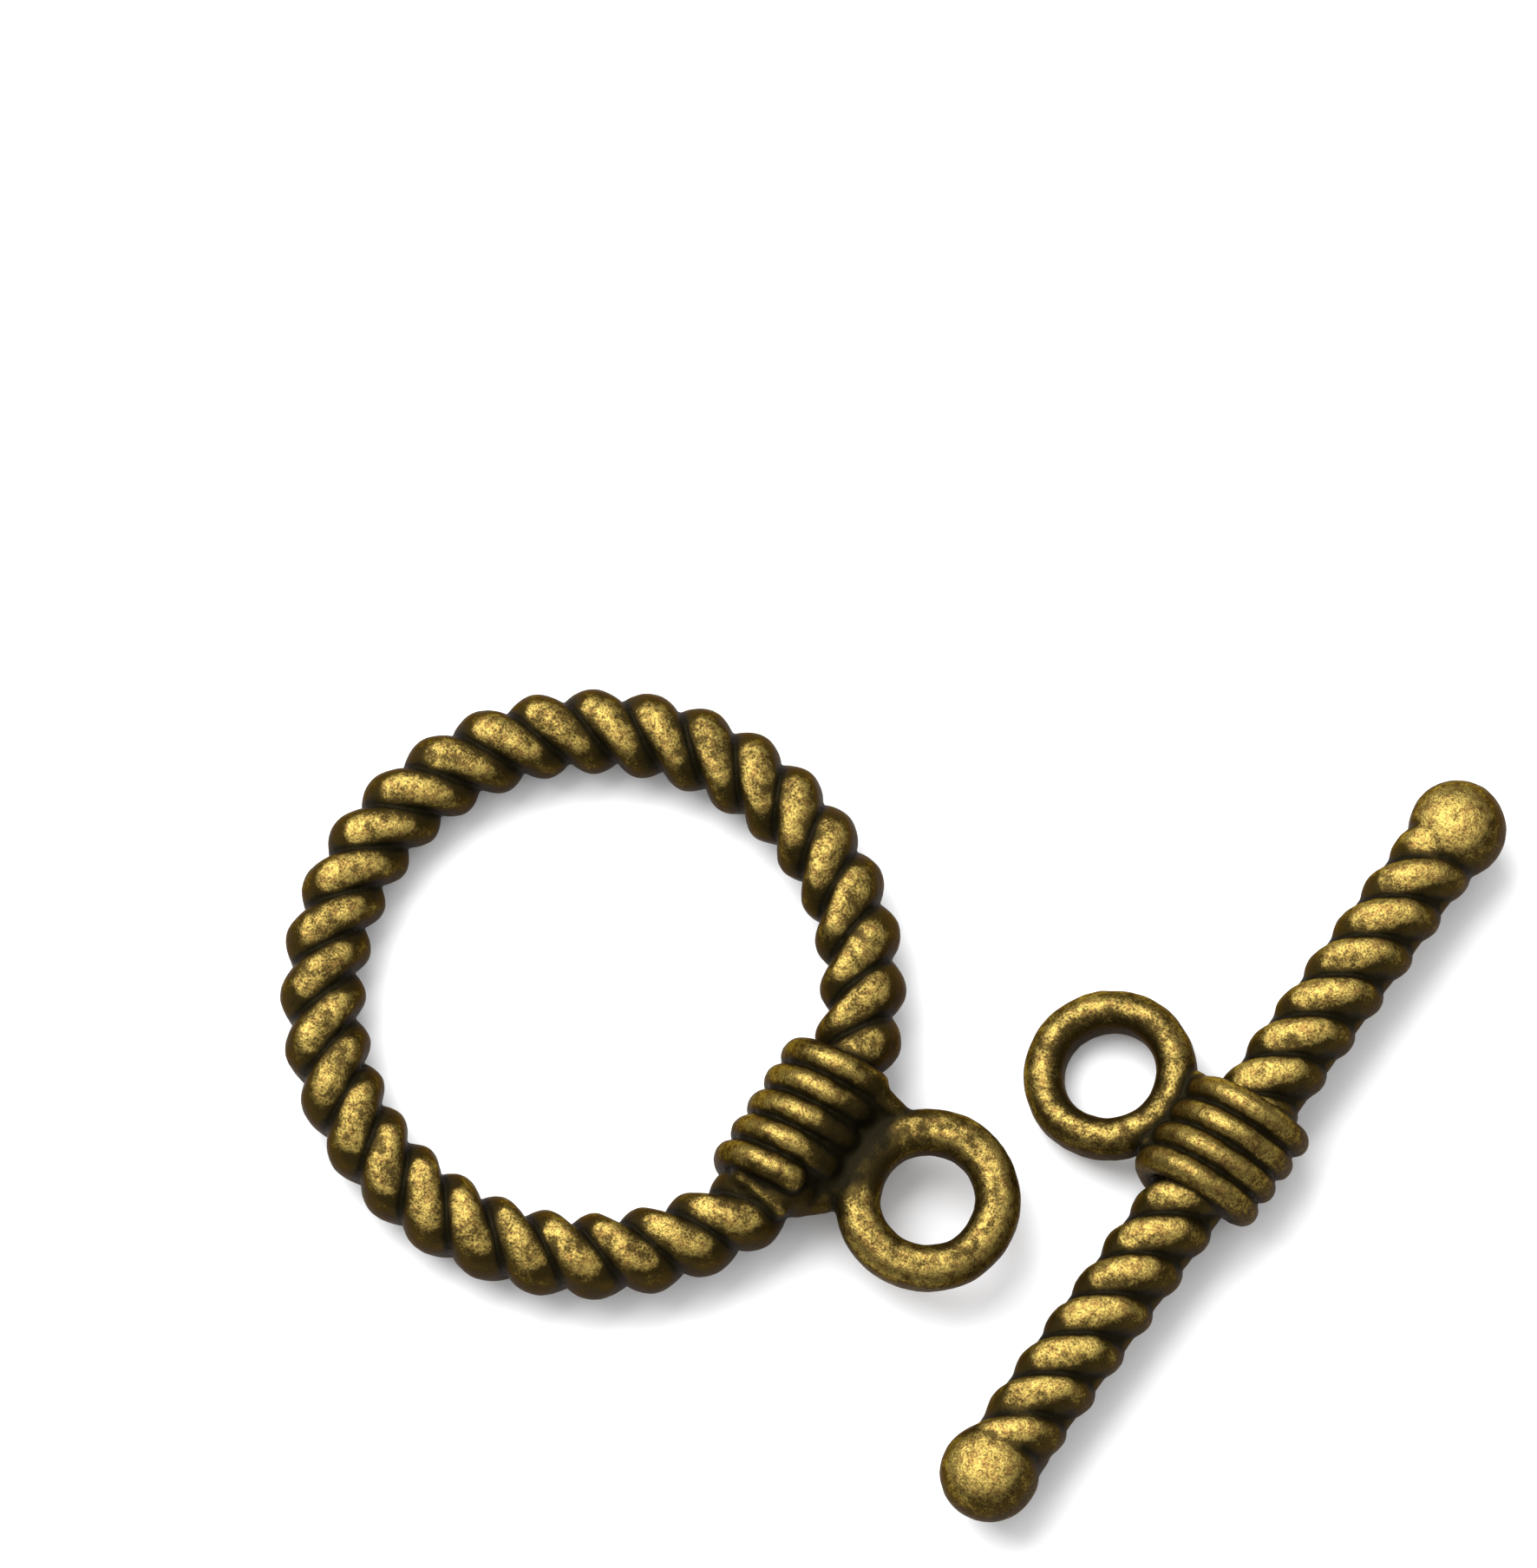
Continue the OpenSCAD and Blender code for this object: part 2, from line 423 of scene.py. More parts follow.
def joined(pieces, name):
    """Joins pieces into one object."""
    in_object_mode()
    bpy.ops.object.select_all(action="DESELECT")
    for piece in pieces:
        piece.select_set(True)
    bpy.context.view_layer.objects.active = pieces[0]
    bpy.ops.object.join()
    return new_piece(name)


# The rope

def crossed(lobes, rope):
    """Share of the rope's width that a groove has crossed after a share of a lobe."""
    reach = 1 + rope.lean
    return (reach - math.sqrt(reach * reach - 4 * rope.lean * lobes)) / (2 * rope.lean)


def groove_turn(lobes, rope):
    """Angle round the rope that a groove has reached after a share of a lobe."""
    across = crossed(lobes, rope)
    return rope.straight * math.acos(1 - 2 * across) + (1 - rope.straight) * math.pi * across


def groove_advance(turn, rope):
    """Lobes that a groove has advanced when it has turned so far round the rope."""
    halves = math.floor(turn / math.pi + 1e-9)
    rest = turn - halves * math.pi
    low = 0.0
    high = 1.0
    for _ in range(SEARCH_STEPS):
        middle = (low + high) / 2
        if groove_turn(middle, rope) < rest:
            low = middle
        else:
            high = middle
    return halves + (low + high) / 2


def groove_fall(along, rope):
    """Depth below the rope's crest, a share of a lobe after a groove."""
    along = along ** (math.log(0.5) / math.log(rope.crest))
    return rope.groove_depth * (1 - math.sin(math.pi * along) ** rope.fullness)


def rope_sheet(name, pitch, lobes, rope):
    """The rope's skin as a flat sheet: X runs along it, Z round it, and Y into the rope."""
    girth = math.pi * rope.diameter
    bpy.ops.mesh.primitive_grid_add(x_subdivisions=LOBE_STEPS, y_subdivisions=ROPE_SIDES, size=1)
    sheet = new_piece(name)
    turned(sheet, rotation=(QUARTER, 0, 0))
    edit(sheet)
    bpy.ops.transform.resize(value=(pitch, 1, girth))
    bpy.ops.transform.translate(value=(pitch / 2, 0, 0))
    in_object_mode()
    for step in range(LOBE_STEPS + 1):
        along = step / LOBE_STEPS
        move(sheet, (0, groove_fall(min(along, 1 - 1e-9), rope), 0), near(0, pitch * along))
    for side in range(ROPE_SIDES + 1):
        part = side / ROPE_SIDES
        place = girth * (0.5 - part)
        advance = groove_advance(FULL_TURN * part, rope)
        move(sheet, (pitch * advance, 0, 0), near(2, place, 1e-3))
    modify(
        sheet, "ARRAY", count=lobes, use_relative_offset=False, use_constant_offset=True,
        constant_offset_displace=(pitch, 0, 0), use_merge_vertices=True, merge_threshold=0.001,
    )
    return sheet


def rope_tube(name, pitch, lobes, rope):
    """The rope rolled up from its sheet, along X, with its first side on +Y and +Z up."""
    tube = rope_sheet(name, pitch, lobes, rope)
    modify(tube, "SIMPLE_DEFORM", deform_method="BEND", deform_axis="X", angle=FULL_TURN)
    move(tube, (0, -rope.diameter / 2, 0))
    merge(tube)
    return tube


def rope_ring(rope, ring):
    """The rope bent round into a closed ring about Z."""
    radius = (ring.outside - rope.diameter) / 2
    pitch = FULL_TURN * radius / ring.lobes
    rope_piece = rope_tube("ring_rope", pitch, ring.lobes, rope)
    places = [vertex.co.x for vertex in rope_piece.data.vertices]
    reach = max(places) - min(places)
    modify(
        rope_piece, "SIMPLE_DEFORM", deform_method="BEND", deform_axis="Z", angle=reach / radius,
    )
    move(rope_piece, (0, -radius, 0))
    merge(rope_piece)
    turned(rope_piece, rotation=(0, 0, QUARTER + ring.first_groove))
    return flattened(rope_piece, rope)


def rope_rod(rope, bar):
    """The straight rope of the bar, cut off flat inside its two balls."""
    half = (bar.overall - bar.ball) / 2 - bar.end_inset
    pitch = 2 * half / bar.lobes
    spare = 3
    rod = rope_tube("bar_rope", pitch, bar.lobes + 2 * spare, rope)
    first = bar.rope_shift - pitch * (bar.lobes / 2 + spare)
    move(rod, (first, 0, 0))
    for side in (-1, 1):
        edit(rod)
        bpy.ops.mesh.bisect(
            plane_co=(side * half, 0, 0), plane_no=(side, 0, 0), use_fill=True, clear_outer=True,
        )
        in_object_mode()
    return flattened(rod, rope)


def seam_fill(bar, rope):
    """The metal that fills the grooves of the bar at its sides, where the mould parted."""
    width = rope.diameter / 2 - bar.seam
    bpy.ops.mesh.primitive_cylinder_add(
        vertices=64, radius=width, depth=bar.overall - bar.ball, rotation=(0, QUARTER, 0),
    )
    fill = settled(new_piece("bar_seam"))
    edit(fill)
    bpy.ops.transform.resize(value=(1, 1, SEAM_HEIGHT))
    in_object_mode()
    return fill


# Collars, loops and balls

def wire_turns(name, reach, wire, start, end, middle=0.0):
    """A round wire wound about X. Its angles are measured from the top, and rise along X."""
    radius = wire_radius(wire)
    bpy.ops.mesh.primitive_circle_add(
        vertices=WIRE_SIDES, radius=radius, location=(0, 0, reach - radius),
        rotation=(QUARTER, 0, 0),
    )
    coil = settled(new_piece(name))
    sweep = end - start
    steps = round(WIRE_STEPS * sweep / FULL_TURN)
    modify(
        coil, "SCREW", axis="X", angle=sweep, screw_offset=wire * sweep / FULL_TURN,
        steps=steps, render_steps=steps, use_merge_vertices=False,
    )
    edit(coil, lambda co: False)
    bpy.ops.mesh.select_mode(type="EDGE")
    bpy.ops.mesh.select_non_manifold(extend=False)
    bpy.ops.mesh.edge_face_add()
    in_object_mode()
    merge(coil)
    turned(coil, rotation=(start, 0, 0), location=(middle + wire * start / FULL_TURN, 0, 0))
    return coil


def wire_end(name, reach, wire, turn, middle=0.0):
    """The round end of a wire wound about X, at its angle from the top."""
    radius = wire_radius(wire)
    arm = reach - radius
    place = (middle + wire * turn / FULL_TURN, -arm * math.sin(turn), arm * math.cos(turn))
    bpy.ops.mesh.primitive_uv_sphere_add(
        segments=WIRE_SIDES, ring_count=12, radius=radius, location=place,
    )
    return settled(new_piece(name))


def strut(name, start, end, start_radius, end_radius):
    """A round-ended strut between two points, thicker at one end than at the other."""
    start = Vector(start)
    end = Vector(end)
    along = end - start
    bpy.ops.mesh.primitive_cone_add(
        vertices=32, radius1=start_radius, radius2=end_radius, depth=along.length,
        location=(start + end) / 2, rotation=along.to_track_quat("Z", "Y").to_euler(),
    )
    pieces = [new_piece(name)]
    for place, radius in ((start, start_radius), (end, end_radius)):
        bpy.ops.mesh.primitive_uv_sphere_add(
            segments=32, ring_count=16, radius=radius, location=place,
        )
        pieces.append(new_piece(name + "_end"))
    return settled(joined(pieces, name))


def from_x(place, x):
    """Brings a place that is measured from a point on X into the half's own frame."""
    return (x + place[0], place[1], place[2])


def core(name, radius, depth, middle):
    """The body of a collar under its wire, along X."""
    bpy.ops.mesh.primitive_cylinder_add(
        vertices=48, radius=radius, depth=depth, location=(middle, 0, 0),
        rotation=(0, QUARTER, 0),
    )
    body = settled(new_piece(name))
    edit(body)
    bpy.ops.mesh.bevel(offset=radius * 0.2, segments=4)
    in_object_mode()
    return body


def loop_band(name, outside, loops):
    """A round loop about Z, spun from a rounded section."""
    band = (outside - loops.hole) / 2
    middle = (outside + loops.hole) / 4
    bpy.ops.mesh.primitive_plane_add(size=1, rotation=(QUARTER, 0, 0))
    loop = settled(new_piece(name))
    edit(loop)
    bpy.ops.transform.resize(value=(band, 1, loops.thickness))
    bpy.ops.mesh.bevel(offset=loops.edge, segments=7, affect="VERTICES")
    bpy.ops.mesh.select_all(action="SELECT")
    bpy.ops.transform.translate(value=(middle, 0, 0))
    bpy.ops.mesh.delete(type="ONLY_FACE")
    bpy.ops.mesh.select_all(action="SELECT")
    bpy.ops.mesh.spin(steps=96, angle=FULL_TURN, center=(0, 0, 0), axis=(0, 0, 1))
    in_object_mode()
    merge(loop)
    return loop


def web_block(name, low, high):
    """A block between two corners, with its edges rounded."""
    low = Vector(low)
    high = Vector(high)
    bpy.ops.mesh.primitive_cube_add(size=1)
    block = new_piece(name)
    edit(block)
    bpy.ops.transform.resize(value=high - low)
    bpy.ops.transform.translate(value=(low + high) / 2)
    bpy.ops.mesh.bevel(offset=WEB_EDGE, segments=4)
    in_object_mode()
    return block


def ball(name, centre, diameter):
    """A ball on the bar's axis."""
    bpy.ops.mesh.primitive_uv_sphere_add(
        segments=48, ring_count=24, radius=diameter / 2, rotation=(0, QUARTER, 0),
    )
    piece = settled(new_piece(name))
    move(piece, centre)
    return piece


# Casting

def points_of(piece):
    """The places of a piece's vertices."""
    points = np.empty(len(piece.data.vertices) * 3, np.float32)
    piece.data.vertices.foreach_get("co", points)
    return points.reshape(-1, 3)


def normals_of(piece):
    """The directions that a piece's vertices face."""
    normals = np.empty(len(piece.data.vertices) * 3, np.float32)
    piece.data.vertex_normals.foreach_get("vector", normals)
    return normals.reshape(-1, 3)


def store(piece, name, values):
    """Stores a number for each vertex, for the material to read."""
    layer = piece.data.attributes.new(name, "FLOAT", "POINT")
    layer.data.foreach_set("value", values.astype(np.float32))


def relief(piece, iterations):
    """How far each vertex stands above a smoothed copy of its piece, in the piece's units."""
    smooth = copy_of(piece, "smoothed")
    modify(smooth, "SMOOTH", factor=0.5, iterations=iterations)
    offset = points_of(piece) - points_of(smooth)
    bpy.data.objects.remove(smooth)
    return (offset * normals_of(piece)).sum(axis=1)


def store_relief(piece, name, values, height):
    """Stores relief as 0 in the hollows, a half on the level and 1 on the crests."""
    store(piece, name, np.clip(0.5 + values / (2 * height), 0, 1))


def climb(values, low, width):
    """Values brought to 0 below a level, and to 1 from this width above it."""
    return np.clip((values - low) / width, 0, 1)


def store_facing(piece, rope):
    """Stores how far each place faces up or down, and where the rope's tops are rubbed flat."""
    # The material keeps the sides darker by this facing: partly patina that stays on the sides,
    # partly painted shade.
    facing = np.abs(normals_of(piece)[:, 2])
    store(piece, "facing", facing)
    height = points_of(piece)[:, 2]
    # A flat begins a little below where rubbing starts, and ends below the rope's full height,
    # so that the collars have none.
    flats = climb(height, rope.flat_from - 0.06, 0.1)
    flats *= 1 - climb(height, rope.diameter / 2 - 0.04, 0.06)
    store(piece, "flats", flats * climb(facing, 0.75, 0.2))


def without_specks(casting):
    """Drops the tiny shells that a remesh can leave inside a casting."""
    edit(casting)
    bpy.ops.mesh.separate(type="LOOSE")
    in_object_mode()
    shells = sorted(bpy.context.selected_objects, key=lambda shell: len(shell.data.vertices))
    name = casting.name
    for speck in shells[:-1]:
        bpy.data.objects.remove(speck)
    shells[-1].name = name
    return shells[-1]


def melt(casting, low, high, iterations):
    """Smooths a casting inside a box, less towards its faces, as metal fills a junction."""
    low = np.array(low)
    high = np.array(high)
    points = points_of(casting)
    inside = np.minimum(points - low, high - points).min(axis=1)
    weights = np.clip(inside / MELT_EDGE, 0, 1)
    zone = casting.vertex_groups.new(name="melted")
    for step in range(1, MELT_STEPS + 1):
        below = (step - 1) / MELT_STEPS
        weight = step / MELT_STEPS
        picked = np.nonzero((weights > below) & (weights <= weight))[0]
        zone.add(picked.tolist(), weight, "REPLACE")
    modify(casting, "SMOOTH", factor=0.5, iterations=iterations, vertex_group=zone.name)
    casting.vertex_groups.clear()


def uneven(casting, size, height):
    """Raises and lowers a casting's surface a little, in clouds of this size."""
    clouds = bpy.data.textures.new("casting clouds", "CLOUDS")
    clouds.noise_scale = size
    clouds.noise_depth = 1
    modify(
        casting, "DISPLACE", texture=clouds, texture_coords="LOCAL", strength=height,
        mid_level=0.5,
    )


def painted_light_gain(casting, light_spots):
    """Painted highlights and painted shade: how much brighter or darker each vertex is painted than
    its relief says, near spots that are given by centre, radius and amount. The gain is full inside
    the radius, and none past 1.5 of it."""
    points = points_of(casting)
    gain = np.zeros(len(points), np.float32)
    for centre, radius, amount in light_spots:
        away = np.linalg.norm(points - np.array(centre), axis=1) / radius
        gain += amount * np.clip(1.5 - away, 0, 0.5) * 2
    return gain


def cast(pieces, name, finish, rope, junctions, light_spots):
    """Fuses pieces into one casting, and stores its crests and hollows for the finish, with painted
    highlights and painted shade added to the broad relief at the given spots.
    """
    broad_passes, broad_height = BROAD_RELIEF
    fine_passes, fine_height = FINE_RELIEF
    casting = joined(pieces, name)
    modify(casting, "REMESH", mode="VOXEL", voxel_size=finish.voxel, use_smooth_shade=True)
    casting = without_specks(casting)
    modify(casting, "SMOOTH", factor=0.5, iterations=2)
    for low, high, iterations in junctions:
        melt(casting, low, high, iterations)
    uneven(casting, finish.lump_size, finish.lump_height)
    # The spots add painted highlights and painted shade to the relief.
    relief_and_light = relief(casting, broad_passes) + painted_light_gain(casting, light_spots)
    store_relief(casting, "broad_relief_and_light", relief_and_light, broad_height)
    store_relief(casting, "fine_relief", relief(casting, fine_passes), fine_height)
    store_facing(casting, rope)
    uneven(casting, finish.dent_size, finish.dent_height)
    casting.data.calc_loop_triangles()
    triangles = len(casting.data.loop_triangles)
    if triangles > finish.faces:
        modify(casting, "DECIMATE", ratio=finish.faces / triangles)
    return casting


def placed(casting, matrix):
    """Brings a finished casting to life size and to its place, and puts both into its mesh."""
    casting.matrix_world = matrix @ Matrix.Scale(MM, 4)
    settled(casting)
    bpy.ops.object.shade_smooth()
    return casting


def ring_place():
    """Where the ring half lies, and how far its loop's middle is from the ring's centre. Its
    height and its lean come from the loop's mount."""
    mount = MOUNTS["ring_loop"]
    lean = math.asin(mount["axis"][0])
    distance = mount["pos_m"][0] / math.cos(lean)
    height = mount["pos_m"][2] + distance * math.sin(lean)
    return Matrix.Translation((0, 0, height)) @ Matrix.Rotation(lean, 4, "Y"), distance * BENCH


def bar_place(loop_reach):
    """Where the bar half lies: its turn and its roll come from the loop's mount."""
    mount = MOUNTS["bar_loop"]
    axis = Vector(mount["axis"]).normalized()
    roll = -math.acos(axis.z)
    heading = math.atan2(-axis.x, axis.y)
    turn = Matrix.Rotation(heading, 4, "Z") @ Matrix.Rotation(roll, 4, "X")
    middle = Vector(mount["pos_m"]) - turn @ Vector((0, loop_reach * MM, 0))
    return Matrix.Translation(middle) @ turn


# Materials

def socket(group, name, into=True, kind="NodeSocketFloat", default=None):
    """Adds a named socket to a node group."""
    way = "INPUT" if into else "OUTPUT"
    made = group.interface.new_socket(name=name, in_out=way, socket_type=kind)
    if default is not None:
        made.default_value = default


class Tree:
    """A small helper that adds and links nodes in one node tree."""

    def __init__(self, tree):
        self.tree = tree

    def node(self, kind, **values):
        """Adds a node with these values."""
        made = self.tree.nodes.new(kind)
        for name, value in values.items():
            setattr(made, name, value)
        return made

    def link(self, source, target):
        """Links one socket to another."""
        self.tree.links.new(source, target)

    def feed(self, target, value):
        """Links a socket to a target, or sets the target's own value."""
        if isinstance(value, bpy.types.NodeSocket):
            self.link(value, target)
        else:
            target.default_value = value

    def math(self, operation, first, second, clamp=False):
        """Does one sum with two values."""
        made = self.node("ShaderNodeMath", operation=operation, use_clamp=clamp)
        self.feed(made.inputs[0], first)
        self.feed(made.inputs[1], second)
        return made.outputs[0]

    def ramp(self, value, low, high):
        """A value's smooth climb from 0 to 1 between two places."""
        made = self.node("ShaderNodeMapRange", interpolation_type="SMOOTHSTEP")
        self.feed(made.inputs["Value"], value)
        self.feed(made.inputs["From Min"], low)
        self.feed(made.inputs["From Max"], high)
        return made.outputs["Result"]

    def least(self, value, low):
        """A value from 0 to 1, pressed into the range from low to 1."""
        return self.math("ADD", self.math("MULTIPLY", value, 1 - low), low)

    def mix(self, factor, first, second):
        """A mix of two colours."""
        made = self.node("ShaderNodeMix", data_type="RGBA")
        self.feed(made.inputs["Factor"], factor)
        self.feed(made.inputs["A"], first)
        self.feed(made.inputs["B"], second)
        return made.outputs["Result"]

    def noise(self, vector, scale, detail, roughness):
        """Noise from 0 to 1, so many times to the metre."""
        made = self.node("ShaderNodeTexNoise")
        self.link(vector, made.inputs["Vector"])
        self.feed(made.inputs["Scale"], scale)
        made.inputs["Detail"].default_value = detail
        made.inputs["Roughness"].default_value = roughness
        return made.outputs["Fac"]


def rubbed_relief_group():
    """The group that says how far patina and rubbing have gone at each place, together with the
    painted highlights and the painted shade on the sides.
    """
    group = bpy.data.node_groups.new("Rubbed Relief", "ShaderNodeTree")
    socket(group, "Coordinates", kind="NodeSocketVector")
    socket(group, "Broad Relief and Light", default=0.5)
    socket(group, "Fine Relief", default=0.5)
    socket(group, "Facing", default=1.0)
    socket(group, "Flats", default=0.0)
    socket(group, "Patina Reach", default=0.0)
    socket(group, "Unevenness", default=0.2)
    socket(group, "Rubbed and Lit", into=False)
    socket(group, "Patina and Shade", into=False)
    tree = Tree(group)
    given = tree.node("NodeGroupInput").outputs
    result = tree.node("NodeGroupOutput").inputs
    blotch = tree.noise(given["Coordinates"], scale=1700.0, detail=4.0, roughness=0.65)
    drift = tree.math("MULTIPLY", tree.math("SUBTRACT", blotch, 0.5), given["Unevenness"])
    fine = tree.math("SUBTRACT", given["Fine Relief"], 0.5)
    fine = tree.math("MULTIPLY", fine, FINE_SHARE)
    level = tree.math("ADD", tree.math("ADD", given["Broad Relief and Light"], fine), drift)
    level = tree.math("SUBTRACT", level, given["Patina Reach"])
    level = tree.math("ADD", level, tree.math("MULTIPLY", given["Flats"], FLATS_SHARE))
    # The sides keep less rubbing and more dark, partly from the patina that stays on them and
    # partly as painted shade.
    reached = tree.least(tree.ramp(given["Facing"], *RUBBING_AND_SHADE_FACING), SIDE_SHARE)
    rubbed_and_lit = tree.math("MULTIPLY", tree.ramp(level, *RUBBING_SHOWS), reached)
    tree.link(rubbed_and_lit, result["Rubbed and Lit"])
    clear_and_unshaded = tree.least(tree.ramp(given["Facing"], *PATINA_AND_SHADE_FACING), SIDE_SHARE)
    bared_and_unshaded = tree.math("MULTIPLY", tree.ramp(level, *PATINA_CLEARS), clear_and_unshaded)
    tree.link(tree.math("SUBTRACT", 1.0, bared_and_unshaded), result["Patina and Shade"])
    return group


def cast_grain_group():
    """The group for the fine grain that a cast and tumbled surface has."""
    group = bpy.data.node_groups.new("Cast Grain", "ShaderNodeTree")
    socket(group, "Coordinates", kind="NodeSocketVector")
    socket(group, "Grain Size", default=0.00006)
    socket(group, "Speckle", into=False)
    socket(group, "Mottle", into=False)
    socket(group, "Height", into=False)
    tree = Tree(group)
    given = tree.node("NodeGroupInput").outputs
    result = tree.node("NodeGroupOutput").inputs
    rate = tree.math("DIVIDE", 1.0, given["Grain Size"])
    grain = tree.noise(given["Coordinates"], rate, detail=3.0, roughness=0.7)
    coarse_rate = tree.math("MULTIPLY", rate, COARSE_SCALE)
    coarse = tree.noise(given["Coordinates"], coarse_rate, detail=3.0, roughness=0.6)
    tree.link(tree.ramp(grain, *SPECKLE_RANGE), result["Speckle"])
    tree.link(tree.ramp(coarse, *MOTTLE_RANGE), result["Mottle"])
    height = tree.math("ADD", grain, tree.math("MULTIPLY", coarse, COARSE_HEIGHT))
    tree.link(height, result["Height"])
    return group


def group_named(name, builder):
    """A node group that is built once and shared."""
    return bpy.data.node_groups.get(name) or builder()


def antique_bronze(name, unevenness, patina_reach, finish):
    """Bronze plating with dark patina in its hollows, rubbed bright on its crests; its sides are
    darkened partly by patina and partly by painted shade, and a few spots carry painted highlights
    and one painted shade.
    """
    material = bpy.data.materials.new(name)
    material.use_nodes = True
    tree = Tree(material.node_tree)
    shader = material.node_tree.nodes["Principled BSDF"]
    shader.inputs["Specular IOR Level"].default_value = 0.15
    shader.inputs["Specular Tint"].default_value = (0.55, 0.45, 0.28, 1)
    coordinates = tree.node("ShaderNodeTexCoord").outputs["Object"]

    rub = tree.node("ShaderNodeGroup", node_tree=group_named("Rubbed Relief", rubbed_relief_group))
    tree.link(coordinates, rub.inputs["Coordinates"])
    for stored, wanted in (
        ("broad_relief_and_light", "Broad Relief and Light"), ("fine_relief", "Fine Relief"), ("facing", "Facing"),
        ("flats", "Flats"),
    ):
        attribute = tree.node("ShaderNodeAttribute", attribute_name=stored)
        tree.link(attribute.outputs["Fac"], rub.inputs[wanted])
    rub.inputs["Unevenness"].default_value = unevenness
    rub.inputs["Patina Reach"].default_value = patina_reach
    grain = tree.node("ShaderNodeGroup", node_tree=group_named("Cast Grain", cast_grain_group))
    tree.link(coordinates, grain.inputs["Coordinates"])

    speckle = tree.math("MULTIPLY", grain.outputs["Speckle"], SPECKLE_PITS)
    mottle = tree.math("MULTIPLY", grain.outputs["Mottle"], MOTTLE_PITS)
    pits = tree.math("ADD", speckle, mottle)
    # The rubbed share carries the painted highlights, and the dark share carries the painted shade
    # on the sides as well as the patina.
    rubbed_and_lit = tree.math("MULTIPLY", rub.outputs["Rubbed and Lit"], RUBBED_GAIN)
    worn_and_lit = tree.math("SUBTRACT", rubbed_and_lit, pits, clamp=True)
    toned = tree.mix(grain.outputs["Mottle"], (*finish.bright, 1), (*finish.brown, 1))
    metal = tree.mix(worn_and_lit, (*finish.bronze, 1), toned)
    flecks = tree.math("MULTIPLY", speckle, SPECKLE_DARK)
    dark = tree.math("ADD", rub.outputs["Patina and Shade"], flecks, clamp=True)
    tree.link(tree.mix(dark, metal, (*finish.patina, 1)), shader.inputs["Base Color"])

    polish = tree.math("MULTIPLY", worn_and_lit, RUBBED_POLISH)
    roughness = tree.math("SUBTRACT", TONED_ROUGHNESS, polish)
    dullness = tree.math("MULTIPLY", dark, PATINA_DULLNESS)
    tree.link(tree.math("ADD", roughness, dullness), shader.inputs["Roughness"])
    cover = tree.math("MULTIPLY", dark, PATINA_COVER)
    metallic = tree.math("SUBTRACT", 1.0, cover)
    tree.link(metallic, shader.inputs["Metallic"])

    bump = tree.node("ShaderNodeBump")
    bump.inputs["Strength"].default_value = 0.5
    bump.inputs["Distance"].default_value = 0.00003
    tree.link(grain.outputs["Height"], bump.inputs["Height"])
    tree.link(bump.outputs["Normal"], shader.inputs["Normal"])
    return material


def dress(piece, material, node):
    """Gives a piece its material and says what it rides on and stands for."""
    piece.data.materials.clear()
    piece.data.materials.append(material)
    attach(piece, "root")
    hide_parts(node)


# The operators

class CLASP_OT_ring_half(bpy.types.Operator):
    """Models the rope ring with its collar of wire and its loop, fused into one casting"""
    bl_idname = "clasp.ring_half"
    bl_label = "Ring Half"

    def execute(self, context):
        settings = context.scene.toggle_clasp
        ring = bench(settings.ring)
        rope = rope_of(settings, ring)
        loops = bench(settings.loops)
        finish = bench(settings.finish)
        place, loop_x = ring_place()
        reach = ring.collar / 2
        coil = wire_turns("ring_coil", reach, ring.wire, *RING_COIL)
        stub = wire_turns("ring_stub", reach, ring.wire, *RING_STUB)
        body = core("ring_core", reach - ring.wire * 0.5, ring.wire * 3.6, -ring.wire * 0.2)
        ends = [
            wire_end("ring_wire_end", reach, ring.wire, turn)
            for turn in (RING_COIL[1], RING_STUB[1], RING_STUB[0])
        ]
        for piece in (coil, stub, body, *ends):
            turned(piece, rotation=(0, 0, QUARTER), location=(ring.collar_x, ring.collar_y, 0))
        band = loop_band("ring_loop", ring.loop, loops)
        move(band, (loop_x, 0, 0))
        half_web = loops.web_thickness / 2
        band_middle = loop_x - (ring.loop + loops.hole) / 4
        x = ring.collar_x
        web = web_block(
            "ring_web", (x, ring.web_low, -half_web), (band_middle, ring.web_high, half_web),
        )
        struts = [
            strut(name, from_x(start, x), from_x(end, x), *radii)
            for name, start, end, *radii in RING_STRUTS
        ]
        pieces = [rope_ring(rope, ring), coil, stub, body, band, web, *struts, *ends]
        # Boxes where metal has filled a junction: two corners, and how often they are smoothed
        junctions = (
            ((x + 0.7, -2.4, -2), (loop_x - 1.35, 2.0, 2), 40),
            ((x - 1.0, -3.0, -2), (x + 1.6, -1.75, 2), 16),
        )
        # Painted highlights on the loop's outer right and bottom and on the collar's top, and
        # painted
        # shade where the collar meets the web: centre, radius and amount
        light_spots = [
            ((loop_x + 0.8, -0.4, 0.4), ring.loop * 0.5, 0.045),
            ((x - 0.3, 0, 1.5), 1.4, 0.03),
            ((x + 1.3, 0, 0.8), 0.9, -0.06),
        ]
        casting = placed(cast(pieces, "ring_casting", finish, rope, junctions, light_spots), place)
        bronze = antique_bronze(
            "antique bronze, ring", unevenness=0.34, patina_reach=0.055, finish=finish,
        )
        dress(casting, bronze, "toggle_ring")
        return {"FINISHED"}


